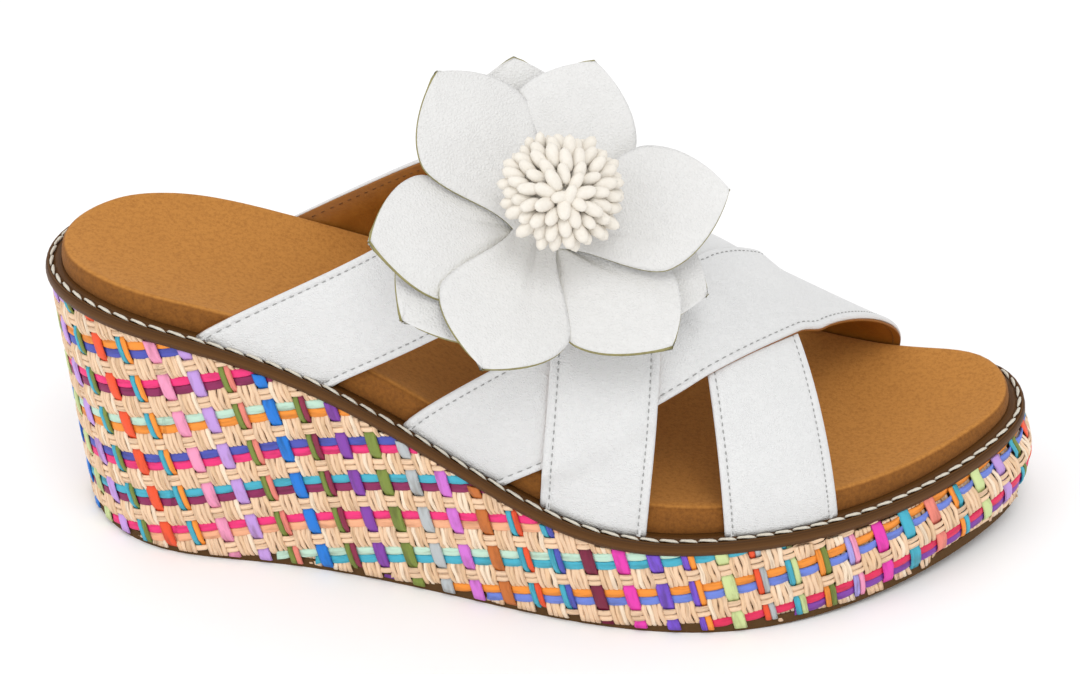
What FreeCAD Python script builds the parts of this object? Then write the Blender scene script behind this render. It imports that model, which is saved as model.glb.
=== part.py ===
import FreeCAD, Part
import math
import os
import Sketcher
from FreeCAD import Placement, Rotation, Vector

# Right-foot slide sandal on a covered wedge.
# +X runs from heel to toe, +Y to the inner (medial) side, +Z up.
# The model is drawn from the back of the footbed, at ground height, and then moved so that
# the origin is on the ground in the middle of its box.

document = FreeCAD.newDocument("WedgeSandal")

# ---------------------------------------------------------------- driving sizes, mm and degrees

sizes = {
    "footbedLength": 250.0,
    # outline of the footbed: control points' distances from the middle line, outer side then inner side
    "heelOuter": 17.6, "seatOuter": 32.1, "shankOuter": 28.8, "waistOuter": 40.3,
    "jointOuter": 53.3, "ballOuter": 50.5, "toesOuter": 30.7, "tipOuter": 3.5,
    "heelInner": 15.0, "seatInner": 26.5, "shankInner": 24.5, "waistInner": 29.5,
    "jointInner": 38.0, "ballInner": 46.0, "toesInner": 31.5, "tipInner": 31.2,
    "heelBack": 1.8, "toeFront": 1.5, "toeSwing": 9.8,
    # height of the welt's top line over the ground
    "heelHeight": 76.8, "seatHeight": 75.2, "shankHeight": 64.6, "waistHeight": 49.1,
    "jointHeight": 28.4, "ballHeight": 29.1, "toesHeight": 27.0, "tipHeight": 31.2,
    # height of the footbed's rim over the welt
    "heelRunout": 3.0, "tipRunout": 4.0, "lineOverrun": 14.0,
    "heelRim": 5.6, "seatRim": 6.6, "shankRim": 8.8, "waistRim": 10.0,
    "jointRim": 9.0, "ballRim": 7.4, "toesRim": 6.2, "tipRim": 5.4,
    # how far the wedge's foot stands outside the footbed's outline
    "heelFlare": -2.2, "seatFlare": 0.0, "shankFlare": 3.0, "waistFlare": 1.0,
    "jointFlare": 0.6, "ballFlare": 5.2, "toesFlare": 6.0, "tipFlare": 6.2,
    # sole stack
    "blockHeight": 100.0, "outsoleThickness": 3.0, "toeSpring": 6.5, "springStart": 168.0,
    "raffiaThickness": 2.0, "wallOffset": 3.2, "boardThickness": 2.0,
    "weltThickness": 3.5, "weltOverhang": 4.6, "weltMargin": 12.0, "bondGap": 0.1,
    "threadOffset": 3.5, "threadWidth": 1.2, "threadHeight": 0.8,
    "coverThickness": 1.2, "footbedDish": 4.5, "footbedInset": 0.5,
    # upper
    "leatherThickness": 1.1, "liningThickness": 0.7, "strapClearance": 0.5, "strapGap": 0.4,
    "strapRamp": 9.0, "strapWidth": 30.0, "seamInset": 2.2, "seamWidth": 0.6, "seamHeight": 0.2,
    "ridgeShift": 2.8, "upperFullness": 2.19,
    "heelSpace": 58.5, "instepSpace": 56.0, "archSpace": 54.5, "vampSpace": 48.8,
    "throatSpace": 27.6, "toeSpace": 11.2,
    # flower
    "flowerPlace": 124.7, "flowerSide": -24.7, "flowerLift": 4.0,
    "flowerTiltFront": 16.0, "flowerTiltSide": 33.0,
    "petalReach": 44.0, "petalNeck": 12.0, "petalCup": 4.5, "petalThickness": 1.0, "petalGap": 0.4,
    "petalSlit": 1.5, "lowerTurn": 103.5, "middleTurn": 77.8, "upperTurn": 133.1,
    "backingRadius": 11.0, "backingThickness": 1.2, "backingGap": 0.2, "stemHole": 3.0,
    "stamenCoreRadius": 2.6, "stamenLength": 7.0, "stamenRadius": 1.35,
    "stamenReach": 12.0, "stamenSplay": 84.0, "stamenLift": 12.0, "stamenGap": 0.2,
}
counts = {"stamenCount": 75}

sheet = document.addObject("Spreadsheet::Sheet", "Sizes")
for row, (alias, value) in enumerate({**sizes, **counts}.items(), start=1):
    sheet.set("A%d" % row, alias)
    sheet.set("B%d" % row, str(value))
    sheet.setAlias("B%d" % row, alias)
document.recompute()


def size(alias):
    return float(sheet.get(alias))


# Stations along the sole, as places on the footbed's length.
stations = {
    "heel": 0.0, "seat": 0.10, "shank": 0.24, "waist": 0.40,
    "joint": 0.56, "ball": 0.72, "toes": 0.87, "tip": 1.0,
}
# Each station's control points on the outline: place, and the direction in which the outline grows.
outlineStations = {
    "heel": (0.015, -0.75, 0.66), "seat": (0.10, -0.12, 0.99), "shank": (0.24, 0.0, 1.0),
    "waist": (0.40, -0.05, 1.0), "joint": (0.56, -0.05, 1.0), "ball": (0.72, 0.15, 0.99),
    "toes": (0.87, 0.55, 0.84), "tip": (0.985, 0.85, 0.53),
}
farAway = 200.0        # side cuts run well past the model
pathSteps = 240        # samples when a line is read back as numbers
dishSteps = 22         # grid steps along the footbed's top; one more runs past each end
dishReach = 1.25       # the dish's tool runs this many half widths to each side
strapSteps = 60        # grid steps along a strap
strapColumns = 19      # grid columns across a strap
sideStep = 0.005       # radians, when the flower's foot is looked for round the upper
petalSteps = 72        # grid steps round a layer of petals
petalColumns = 6       # grid columns from the stem to a petal's edge
petalLobes = 3         # petals in one layer
petalRound = 1.1       # above 1 the petals are more pointed, below 1 blunter
patternLength = 250.0  # footbed length that the straps' and the flower's places are given for


# ---------------------------------------------------------------- sketch helpers

def originPlane(body, role):
    return next(f for f in body.Origin.OriginFeatures if f.Role == role)


def newBody(label):
    body = document.addObject("PartDesign::Body", label)
    body.Label = label
    return body


def newSketch(body, name, role):
    sketch = body.newObject("Sketcher::SketchObject", name)
    sketch.AttachmentSupport = [(originPlane(body, role), "")]
    sketch.MapMode = "FlatFace"
    return sketch


def bindPoint(sketch, geometry, corner, guess, expressions, name):
    """Hold one point of a sketch at two expressions; the guess only starts the solver."""
    for kind, start, expression in zip(("DistanceX", "DistanceY"), guess, expressions):
        index = sketch.addConstraint(Sketcher.Constraint(kind, -1, 1, geometry, corner, start))
        sketch.renameConstraint(index, name + kind[-1])
        sketch.setExpression("Constraints." + name + kind[-1], expression)


def addSpline(sketch, points, closed):
    """A cubic spline whose control points are held where their expressions say."""
    guesses = [Vector(x, y, 0) for x, y, _, _, _ in points]
    curve = Part.BSplineCurve()
    spans = len(points) if closed else len(points) - 3
    knots = [float(i) for i in range(spans + 1)]
    ends = [1] if closed else [4]
    multiplicities = ends + [1] * (spans - 1) + ends
    curve.buildFromPolesMultsKnots(guesses, multiplicities, knots, closed, 3)
    spline = sketch.addGeometry(curve, False)
    circles = []
    constraints = []
    for i, guess in enumerate(guesses):
        circle = sketch.addGeometry(Part.Circle(guess, Vector(0, 0, 1), 1.0), True)
        circles.append(circle)
        constraints.append(Sketcher.Constraint(
            "InternalAlignment:Sketcher::BSplineControlPoint", circle, 3, spline, i))
        constraints.append(Sketcher.Constraint("Weight", circle, 1.0))
    sketch.addConstraint(constraints)
    for circle, (x, y, alongExpression, acrossExpression, name) in zip(circles, points):
        bindPoint(sketch, circle, 3, (x, y), (alongExpression, acrossExpression), name)
    return spline


# ---------------------------------------------------------------- outlines, seen from above

def evenGrowth(expression):
    """The same offset from the footbed's outline at every station."""
    return lambda station: expression


def footGrowth(inset):
    """The wedge's outline where it meets the ground."""
    return lambda station: "(Sizes.%sFlare - (%s))" % (station, inset)


def crownGrowth(inset):
    """The wedge's outline at the block's top, on the straight line from the ground through the welt."""
    return lambda station: (
        "(Sizes.{0}Flare + (Sizes.wallOffset - Sizes.{0}Flare) * Sizes.blockHeight"
        " / Sizes.{0}Height - ({1}))").format(station, inset)


def outlineSketch(body, name, growth, level):
    """Closed outline of the sole, offset by growth(station), at a height above the ground."""
    sketch = newSketch(body, name, "XY_Plane")
    sketch.setExpression("AttachmentOffset.Base.z", level)
    length = size("footbedLength")
    points = [(-size("heelBack"), 0.0, "-Sizes.heelBack - " + growth("heel"), "0", "heelTip")]
    for side, sign in (("Outer", -1), ("Inner", 1)):
        row = []
        for station, (place, alongGrowth, acrossGrowth) in outlineStations.items():
            along = "Sizes.footbedLength * %g + %g * %s" % (place, alongGrowth, growth(station))
            across = "%d * (Sizes.%s%s + %g * %s)" % (sign, station, side, acrossGrowth, growth(station))
            guess = sign * size(station + side)
            row.append((length * place, guess, along, across, station + side))
        points += row if side == "Outer" else row[::-1]
        if side == "Outer":
            toeTip = "Sizes.footbedLength + Sizes.toeFront + " + growth("tip")
            points.append((length, size("toeSwing"), toeTip, "Sizes.toeSwing", "toeTip"))
    addSpline(sketch, points, True)
    return sketch


# ---------------------------------------------------------------- lines seen from the side

def sideLine(sketch, heightOf):
    """The sole's long curve from heel to toe, at the height that heightOf(station) gives."""
    length = size("footbedLength")
    overrun = size("lineOverrun")
    points = [(-overrun, size("heelHeight"), "-Sizes.lineOverrun",
               heightOf("heel") + " - Sizes.heelRunout", "back")]
    for station, place in stations.items():
        points.append((length * place, size(station + "Height"), "Sizes.footbedLength * %g" % place,
                       heightOf(station), station))
    points.append((length + overrun, size("tipHeight"), "Sizes.footbedLength + Sizes.lineOverrun",
                   heightOf("tip") + " + Sizes.tipRunout", "front"))
    return addSpline(sketch, points, False)


def closeBeyond(sketch, first, startCorner, last, endCorner, far):
    """Close a profile with two upright lines and a level one, far above or below the sole."""
    backX = -size("lineOverrun")
    frontX = size("footbedLength") + size("lineOverrun")
    corners = [Vector(frontX, 0, 0), Vector(frontX, far, 0), Vector(backX, far, 0), Vector(backX, 0, 0)]
    lines = []
    for a, b in zip(corners[:-1], corners[1:]):
        lines.append(sketch.addGeometry(Part.LineSegment(a, b), False))
    sketch.addConstraint([
        Sketcher.Constraint("Coincident", last, endCorner, lines[0], 1),
        Sketcher.Constraint("Coincident", lines[0], 2, lines[1], 1),
        Sketcher.Constraint("Coincident", lines[1], 2, lines[2], 1),
        Sketcher.Constraint("Coincident", lines[2], 2, first, startCorner),
        Sketcher.Constraint("Vertical", lines[0]),
        Sketcher.Constraint("Horizontal", lines[1]),
        Sketcher.Constraint("Vertical", lines[2]),
        Sketcher.Constraint("DistanceY", -1, 1, lines[1], 1, far)])


def weltSketch(body, name, drop, far):
    """Profile bounded by the welt's top line, moved down by drop."""
    sketch = newSketch(body, name, "XZ_Plane")
    spline = sideLine(sketch, lambda station: "Sizes.%sHeight - (%s)" % (station, drop))
    closeBeyond(sketch, spline, 1, spline, 2, far)
    return sketch


def rimSketch(body, name, drop, far):
    """Profile bounded by the footbed's rim line, moved down by drop."""
    sketch = newSketch(body, name, "XZ_Plane")
    spline = sideLine(sketch, lambda station: "Sizes.{0}Height + Sizes.{0}Rim - ({1})".format(station, drop))
    closeBeyond(sketch, spline, 1, spline, 2, far)
    return sketch


def groundSketch(body, name, rise, far):
    """Profile bounded by the flat tread and the toe spring's arc, moved up by rise."""
    sketch = newSketch(body, name, "XZ_Plane")
    start = size("springStart")
    front = size("footbedLength") + size("lineOverrun")
    reach = size("footbedLength") + size("tipFlare") - start
    radius = (reach ** 2 + size("toeSpring") ** 2) / (2 * size("toeSpring"))
    radiusExpression = ("((Sizes.footbedLength + Sizes.tipFlare - Sizes.springStart)^2"
                        " + Sizes.toeSpring^2) / (2 * Sizes.toeSpring)")
    back = Vector(-size("lineOverrun"), 0, 0)
    flat = sketch.addGeometry(Part.LineSegment(back, Vector(start, 0, 0)), False)
    circle = Part.Circle(Vector(start, radius, 0), Vector(0, 0, 1), radius)
    sweep = math.asin((front - start) / radius)
    arc = sketch.addGeometry(Part.ArcOfCircle(circle, -math.pi / 2, -math.pi / 2 + sweep), False)
    bindPoint(sketch, flat, 1, (back.x, 0), ("-Sizes.lineOverrun", rise), "back")
    bindPoint(sketch, flat, 2, (start, 0), ("Sizes.springStart", rise), "start")
    sketch.addConstraint(Sketcher.Constraint("Tangent", flat, 2, arc, 1))
    index = sketch.addConstraint(Sketcher.Constraint("Radius", arc, radius))
    sketch.renameConstraint(index, "spring")
    sketch.setExpression("Constraints.spring", radiusExpression)
    index = sketch.addConstraint(Sketcher.Constraint("DistanceX", -1, 1, arc, 2, front))
    sketch.renameConstraint(index, "front")
    sketch.setExpression("Constraints.front", "Sizes.footbedLength + Sizes.lineOverrun")
    closeBeyond(sketch, flat, 1, arc, 2, far)
    return sketch


# ---------------------------------------------------------------- sole layers

def blockFeature(body, name, foot, crown, removes):
    """Add or remove the upright block between an outline on the ground and one at the block's top."""
    low = outlineSketch(body, name + "Foot", foot, "0")
    if crown is None:
        feature = body.newObject("PartDesign::Pocket" if removes else "PartDesign::Pad", name)
        feature.Profile = low
        feature.setExpression("Length", "Sizes.blockHeight")
        feature.Reversed = removes
        return feature
    high = outlineSketch(body, name + "Crown", crown, "Sizes.blockHeight")
    feature = body.newObject("PartDesign::SubtractiveLoft" if removes else "PartDesign::AdditiveLoft", name)
    feature.Profile = low
    feature.Sections = [high]
    feature.Ruled = True
    return feature


def sideCut(body, sketch):
    pocket = body.newObject("PartDesign::Pocket", sketch.Name + "Cut")
    pocket.Profile = sketch
    pocket.Type = "ThroughAll"
    pocket.SideType = "Symmetric"
    return pocket


def soleLayer(label, outline, floor, roof, hole=None):
    """One layer of the sole: a block cut to its floor and roof lines, with an optional hole."""
    body = newBody(label)
    features = [blockFeature(body, label + "Block", outline[0], outline[1], False)]
    if hole:
        features.append(blockFeature(body, label + "Hole", hole[0], hole[1], True))
    features.append(sideCut(body, floor[0](body, label + "Floor", floor[1], -farAway)))
    features.append(sideCut(body, roof[0](body, label + "Roof", roof[1], farAway)))
    document.recompute()
    volumes = [feature.Shape.Volume for feature in features]
    if volumes != sorted(volumes, reverse=True) or len(set(volumes)) < len(volumes):
        raise RuntimeError("a cut of %s removed nothing: %s" % (label, volumes))
    return body


wallLine = (footGrowth("0"), crownGrowth("0"))
linerLine = (footGrowth("Sizes.raffiaThickness"), crownGrowth("Sizes.raffiaThickness"))
coreLine = (footGrowth("Sizes.raffiaThickness + Sizes.bondGap"),
            crownGrowth("Sizes.raffiaThickness + Sizes.bondGap"))
abovePad = "Sizes.outsoleThickness + Sizes.bondGap"
underWelt = "Sizes.weltThickness + Sizes.bondGap"
underBoard = "Sizes.weltThickness + Sizes.boardThickness + 2 * Sizes.bondGap"

outsole = soleLayer("outsole", wallLine, (groundSketch, "0"), (groundSketch, "Sizes.outsoleThickness"))
wedgeCore = soleLayer("wedge_core", coreLine, (groundSketch, abovePad), (weltSketch, underBoard))
raffiaWrap = soleLayer("raffia_wrap", wallLine, (groundSketch, abovePad), (weltSketch, underWelt),
                       hole=linerLine)
insoleBoard = soleLayer("insole_board", coreLine, (weltSketch, "Sizes.weltThickness + Sizes.boardThickness"
                                                   " + Sizes.bondGap"), (weltSketch, underWelt))
welt = soleLayer("welt", (evenGrowth("Sizes.weltOverhang"), None), (weltSketch, "Sizes.weltThickness"),
                 (weltSketch, "0"), hole=(evenGrowth("(-Sizes.weltMargin)"), None))
bottomFiller = soleLayer("bottom_filler", (evenGrowth("(-Sizes.weltMargin - Sizes.bondGap)"), None),
                         (weltSketch, "Sizes.weltThickness"), (weltSketch, "0"))
weltThread = soleLayer("welt_thread",
                       (evenGrowth("(Sizes.threadOffset + Sizes.threadWidth / 2)"), None),
                       (weltSketch, "-Sizes.bondGap / 2"), (weltSketch, "-Sizes.threadHeight"),
                       hole=(evenGrowth("(Sizes.threadOffset - Sizes.threadWidth / 2)"), None))


# ---------------------------------------------------------------- reading the lines back

coverBlock = soleLayer("cover_block", (evenGrowth("(-Sizes.footbedInset)"), None), (weltSketch, "-Sizes.bondGap"),
                       (rimSketch, "-Sizes.footbedDish"))


outlineEdge = document.getObject("cover_blockBlockFoot").Shape.Edges[0]
outlinePoints = outlineEdge.discretize(2 * pathSteps)
tipPoint = max(outlinePoints, key=lambda p: p.x)
heelPoint = min(outlinePoints, key=lambda p: p.x)


def outlineSide(sign):
    """The footbed's edge on one side, as a function of the place along it."""
    chord = tipPoint - heelPoint
    side = [p for p in outlinePoints if sign * (chord.x * (p.y - heelPoint.y) - chord.y * (p.x - heelPoint.x)) >= 0]
    pairs = sorted([(p.x, p.y) for p in side] + [(tipPoint.x, tipPoint.y), (heelPoint.x, heelPoint.y)])
    return tableReader(pairs)


def tableReader(pairs):
    def read(at):
        if at <= pairs[0][0]:
            return pairs[0][1]
        for (a, low), (b, high) in zip(pairs[:-1], pairs[1:]):
            if a <= at <= b:
                return low + (high - low) * (at - a) / max(b - a, 1e-9)
        return pairs[-1][1]
    return read


def splineReader(sketchName):
    """Height of a side line over the ground, as a function of the place along it."""
    edges = [e for e in document.getObject(sketchName).Shape.Edges if "BSpline" in e.Curve.TypeId]
    return tableReader(sorted((p.x, p.z) for p in edges[0].discretize(pathSteps)))


outerEdge = outlineSide(-1)
innerEdge = outlineSide(1)
weltHeight = splineReader("weltRoof")
blockRoof = splineReader("cover_blockRoof")


def rimHeight(x):
    """Height of the footbed's rim over the ground; its block stands one dish higher."""
    return blockRoof(x) - size("footbedDish")


# ---------------------------------------------------------------- faces through grids of points

def gridFace(rows):
    surface = Part.BSplineSurface()
    surface.interpolate(rows)
    return surface


def solidBetween(lowRows, highRows):
    """A closed solid between two smooth surfaces through grids of the same size."""
    low = gridFace(lowRows)
    high = gridFace(highRows)
    faces = [low.toShape(), high.toShape()]
    firstU, lastU, firstV, lastV = low.bounds()
    for isoOf, at in (("uIso", firstU), ("uIso", lastU), ("vIso", firstV), ("vIso", lastV)):
        wall = getattr(low, isoOf)(at).makeRuledSurface(getattr(high, isoOf)(at))
        faces.append(wall.toShape())
    shell = Part.makeShell(faces)
    shell.sewShape()
    solid = Part.makeSolid(shell)
    if solid.Volume < 0:
        solid.reverse()
    return solid


def addShape(label, shape, placement=None):
    piece = document.addObject("Part::Feature", label)
    piece.Label = label
    piece.Shape = shape
    if placement:
        piece.Placement = placement
    return piece


# ---------------------------------------------------------------- footbed

def footbedDip(x, share):
    """How far the footbed's top lies under its rim; share runs from -1 to 1 across it."""
    along = 2 * x / size("footbedLength") - 1
    return size("footbedDish") * (1 - share ** 2) * max(0.0, 1 - along ** 6)


def dishTool(label, drop):
    """Everything above the footbed's dished top, moved down by drop."""
    rows = []
    for i in range(-1, dishSteps + 2):
        x = i / dishSteps * (size("footbedLength") + 2 * size("toeFront")) - size("heelBack")
        middle = (outerEdge(x) + innerEdge(x)) / 2
        half = max(size("heelInner"), (innerEdge(x) - outerEdge(x)) / 2)
        row = []
        for j in range(11):
            share = dishReach * (j / 5 - 1)
            row.append(Vector(x, middle + share * half, rimHeight(x) - footbedDip(x, share) - drop))
        rows.append(row)
    return addShape(label, gridFace(rows).toShape().extrude(Vector(0, 0, farAway / 2)))


def cutOf(label, base, tool):
    cut = document.addObject("Part::Cut", label)
    cut.Label = label
    cut.Base = base
    cut.Tool = tool
    return cut


def footbedSolid(label, block, drop):
    return cutOf(label, block, dishTool(label + "_dish", drop))


cover = size("coverThickness")
gap = size("bondGap")
cavityBlock = soleLayer("cavity_block", (evenGrowth("(-Sizes.footbedInset - Sizes.coverThickness)"), None),
                        (weltSketch, "Sizes.weltThickness"), (rimSketch, "-Sizes.footbedDish"))
foamBlock = soleLayer("foam_block", (evenGrowth("(-Sizes.footbedInset - Sizes.coverThickness - Sizes.bondGap)"),
                                     None),
                      (weltSketch, "-Sizes.bondGap"), (rimSketch, "-Sizes.footbedDish"))
footbedFoam = footbedSolid("footbed_foam", foamBlock, cover + gap)
coverCavity = footbedSolid("cover_cavity", cavityBlock, cover)
coverOuter = footbedSolid("cover_outer", coverBlock, 0.0)
footbedCover = cutOf("footbed_cover", coverOuter, coverCavity)


# ---------------------------------------------------------------- upper: a smooth form over the foot

spaceStations = {"heelSpace": 0.12, "instepSpace": 0.28, "archSpace": 0.44,
                 "vampSpace": 0.60, "throatSpace": 0.76, "toeSpace": 0.90}
spaceCurve = Part.BSplineCurve()
spaceCurve.interpolate([Vector(size("footbedLength") * place, 0, size(name))
                        for name, place in spaceStations.items()])
spaceAt = tableReader(sorted((p.x, p.z) for p in spaceCurve.toShape().discretize(pathSteps)))


def upperPoint(x, angle, offset):
    """A point over the foot. The angle runs from 0 at the inner welt over the top to pi at the outer."""
    grow = size("footbedInset") + size("strapClearance") + offset
    low = outerEdge(x) - grow
    high = innerEdge(x) + grow
    exponent = 2 / size("upperFullness")
    swing = math.cos(angle)
    rise = max(0.0, math.sin(angle)) ** exponent
    across = math.copysign(abs(swing) ** exponent, swing)
    base = weltHeight(x) + size("bondGap")
    top = rimHeight(x) + spaceAt(x) + offset
    return Vector(x, (low + high) / 2 + (high - low) / 2 * across + size("ridgeShift") * rise ** 2,
                  base + (top - base) * rise)


# Each strap: where its rear and front edges leave the outer welt and reach the inner one,
# with two bends of the way between, and the straps that it lies over.
straps = {
    "strap_d": {"rear": (174.4, 117.4, -0.95, 0.21), "front": (203.0, 147.6, -0.96, 0.21), "over": []},
    "strap_b": {"rear": (92.7, 193.5, 0.92, -0.30), "front": (118.8, 220.7, 1.16, -0.09),
                "over": ["strap_d"]},
    "strap_a": {"rear": (40.0, 152.8, 0.77, 0.67), "front": (74.4, 180.8, 0.59, 0.57),
                "over": ["strap_d"]},
    "strap_c": {"rear": (127.9, 50.2, -1.80, 0.64), "front": (154.8, 82.7, -1.80, 0.65),
                "over": ["strap_a", "strap_b"]},
}


def alongFoot(place):
    """A place given for the pattern's length, on this footbed."""
    return place * size("footbedLength") / patternLength


def edgePlace(edge, way):
    """Place along the foot of a strap's edge; way runs from 0 at the outer welt to 1 at the inner."""
    start, end, bend, twist = edge
    share = way + bend * way * (1 - way) + twist * way * (1 - way) * (1 - 2 * way)
    return alongFoot(start + (end - start) * share)


def smooth(value):
    value = min(1.0, max(0.0, value))
    return value * value * (3 - 2 * value)


def strapStack():
    return size("leatherThickness") + size("liningThickness") + size("bondGap") + size("strapGap")


def liftOver(name, x, angle):
    """How far a strap's inner face is raised at a place by the straps that it lies over."""
    lift = 0.0
    for under in straps[name]["over"]:
        way = 1 - angle / math.pi
        rear = edgePlace(straps[under]["rear"], way)
        front = edgePlace(straps[under]["front"], way)
        ramp = size("strapRamp") * (0.5 + 0.5 * smooth(3 * math.sin(angle)))
        inside = smooth((x - rear + ramp) / ramp) * smooth((front + ramp - x) / ramp)
        lift = max(lift, inside * (strapStack() + liftOver(under, x, angle)))
    return lift


def strapRows(name, offset, firstShare, lastShare, columns):
    """A grid of points along a strap, between two shares of its width, at an offset from the foot."""
    rows = []
    for i in range(strapSteps + 1):
        way = i / strapSteps
        row = []
        for j in range(columns):
            share = firstShare + (lastShare - firstShare) * j / (columns - 1)
            rear = edgePlace(straps[name]["rear"], way)
            front = edgePlace(straps[name]["front"], way)
            x = rear + (front - rear) * share
            angle = math.pi * (1 - way)
            row.append(upperPoint(x, angle, offset + liftOver(name, x, angle)))
        rows.append(row)
    return rows


def strapLayer(label, name, low, high, firstShare=0.0, lastShare=1.0, columns=strapColumns):
    return solidBetween(strapRows(name, low, firstShare, lastShare, columns),
                        strapRows(name, high, firstShare, lastShare, columns))


def strapPieces(name):
    lining = size("liningThickness")
    leatherFace = lining + size("bondGap") + size("leatherThickness")
    seamFace = leatherFace + size("bondGap") / 2
    width = alongFoot(size("strapWidth"))
    inset = size("seamInset") / width
    seam = size("seamWidth") / width
    addShape(name + "_lining", strapLayer(name, name, 0.0, lining))
    addShape(name + "_leather", strapLayer(name, name, lining + size("bondGap"), leatherFace))
    rows = [strapLayer(name, name, seamFace, seamFace + size("seamHeight"), first, first + seam, 3)
            for first in (inset, 1 - inset - seam)]
    addShape(name + "_stitching", Part.makeCompound(rows))
    return [name + "_lining", name + "_leather", name + "_stitching"]


strapNodes = []
for strapName in straps:
    strapNodes += strapPieces(strapName)


# ---------------------------------------------------------------- flower

flowerAxis = Rotation(Vector(1, 0, 0), size("flowerTiltSide")).multVec(
    Rotation(Vector(0, 1, 0), size("flowerTiltFront")).multVec(Vector(0, 0, 1)))


def flowerBase():
    """The flower's foot: on the upper's surface, lifted clear of the straps along the flower's axis."""
    x = alongFoot(size("flowerPlace"))
    angle = math.pi / 2
    stack = 2 * strapStack()
    while upperPoint(x, angle, stack).y > size("flowerSide"):
        angle += sideStep
    return upperPoint(x, angle, stack) + flowerAxis * size("flowerLift")


flowerPlacement = Placement(flowerBase(), Rotation(Vector(0, 0, 1), flowerAxis))
petalPitch = size("petalThickness") + size("petalGap")


def petalLayer(label, turn, level):
    """Three petals cut in one piece, slit at one neck so that the sheet can be cupped."""
    slit = math.radians(size("petalSlit"))
    low = []
    high = []
    for i in range(petalSteps + 1):
        around = slit / 2 + (2 * math.pi - slit) * i / petalSteps
        fromTip = around % (2 * math.pi / petalLobes) - math.pi / petalLobes
        lobe = max(0.0, math.cos(fromTip * petalLobes / 2)) ** petalRound
        reach = size("petalNeck") + (size("petalReach") - size("petalNeck")) * lobe
        direction = math.radians(turn) + around - math.pi / petalLobes
        lowRow = []
        highRow = []
        for j in range(petalColumns):
            share = j / (petalColumns - 1)
            radius = size("stemHole") + (reach - size("stemHole")) * share
            rise = size("petalCup") * (radius / size("petalReach")) ** 2 + level
            x = radius * math.cos(direction)
            y = radius * math.sin(direction)
            lowRow.append(Vector(x, y, rise))
            highRow.append(Vector(x, y, rise + size("petalThickness")))
        low.append(lowRow)
        high.append(highRow)
    return addShape(label, solidBetween(low, high), flowerPlacement)


backing = document.addObject("Part::Cylinder", "flower_backing")
backing.Label = "flower_backing"
backing.setExpression("Radius", "Sizes.backingRadius")
backing.setExpression("Height", "Sizes.backingThickness")
backing.Placement = Placement(flowerPlacement.multVec(Vector(0, 0, -size("backingThickness") - size("backingGap"))),
                              flowerPlacement.Rotation)

petalLayer("petals_lower", size("lowerTurn"), 0.0)
petalLayer("petals_middle", size("middleTurn"), petalPitch)
petalLayer("petals_upper", size("upperTurn"), 2 * petalPitch)


def stamenDirections():
    """Even spread of stamens over a cap, by the golden angle."""
    count = int(size("stamenCount"))
    golden = math.pi * (3 - math.sqrt(5))
    for i in range(count):
        tilt = math.radians(size("stamenSplay")) * math.sqrt((i + 0.5) / count)
        yield Vector(math.sin(tilt) * math.cos(i * golden), math.sin(tilt) * math.sin(i * golden),
                     math.cos(tilt))


def stamenBead():
    """One bead: half an ellipse turned about its long axis."""
    ellipse = Part.Ellipse(Vector(0, 0, 0), size("stamenLength") / 2, size("stamenRadius"))
    half = Part.Wire([Part.Arc(ellipse, 0, math.pi).toShape(),
                      Part.makeLine(Vector(-size("stamenLength") / 2, 0, 0),
                                    Vector(size("stamenLength") / 2, 0, 0))])
    bead = Part.Face(half).revolve(Vector(0, 0, 0), Vector(1, 0, 0), 360)
    bead.rotate(Vector(0, 0, 0), Vector(0, 1, 0), -90)
    return bead


petalStack = "3 * (Sizes.petalThickness + Sizes.petalGap)"
stamenCentre = 3 * petalPitch + size("stamenLift")
bead = stamenBead()
beads = []
for direction in stamenDirections():
    copy = bead.copy()
    copy.Placement = Placement(direction * size("stamenReach") + Vector(0, 0, stamenCentre),
                               Rotation(Vector(0, 0, 1), direction)).multiply(copy.Placement)
    beads.append(copy)
addShape("stamens", Part.makeCompound(beads), flowerPlacement)

stem = document.addObject("Part::Cylinder", "stamen_stem")
stem.setExpression("Radius", "Sizes.stamenCoreRadius")
stem.setExpression("Height", petalStack)
bloom = document.addObject("Part::Cone", "stamen_bloom")
bloom.setExpression("Radius1", "Sizes.stamenCoreRadius")
bloom.setExpression("Radius2", "Sizes.stamenReach - Sizes.stamenLength / 2 - Sizes.stamenGap")
bloom.setExpression("Height", "Sizes.stamenLift")
bloom.setExpression("Placement.Base.z", petalStack)
core = document.addObject("Part::Fuse", "stamen_core")
core.Label = "stamen_core"
core.Base = stem
core.Tool = bloom
core.Placement = flowerPlacement


# ---------------------------------------------------------------- checks and files

nodes = ["outsole", "wedge_core", "raffia_wrap", "insole_board", "bottom_filler", "welt", "welt_thread",
         "footbed_foam", "footbed_cover"] + strapNodes + [
         "flower_backing", "petals_lower", "petals_middle", "petals_upper", "stamen_core", "stamens"]

document.recompute()
pieces = [document.getObjectsByLabel(node)[0] for node in nodes]
box = FreeCAD.BoundBox()
for piece in pieces:
    box.add(piece.Shape.optimalBoundingBox(True, False))
toOrigin = Placement(Vector(-box.Center.x, -box.Center.y, -box.ZMin), Rotation())
for piece in pieces:
    piece.Placement = toOrigin.multiply(piece.Placement)
print("moved by", toOrigin.Base)

document.recompute()
for thing in document.Objects:
    if "Invalid" in thing.State or "Error" in thing.State:
        raise RuntimeError("%s is %s" % (thing.Name, thing.State))

os.makedirs("parts", exist_ok=True)
for node, piece in zip(nodes, pieces):
    shape = piece.Shape
    if shape.isNull() or not shape.isValid():
        raise RuntimeError("%s has no valid shape" % node)
    shape.exportStep("parts/%s.step" % node)
    print("%-20s %3d solids %9.1f mm3" % (node, len(shape.Solids), shape.Volume))
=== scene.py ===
import math
import random

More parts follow.
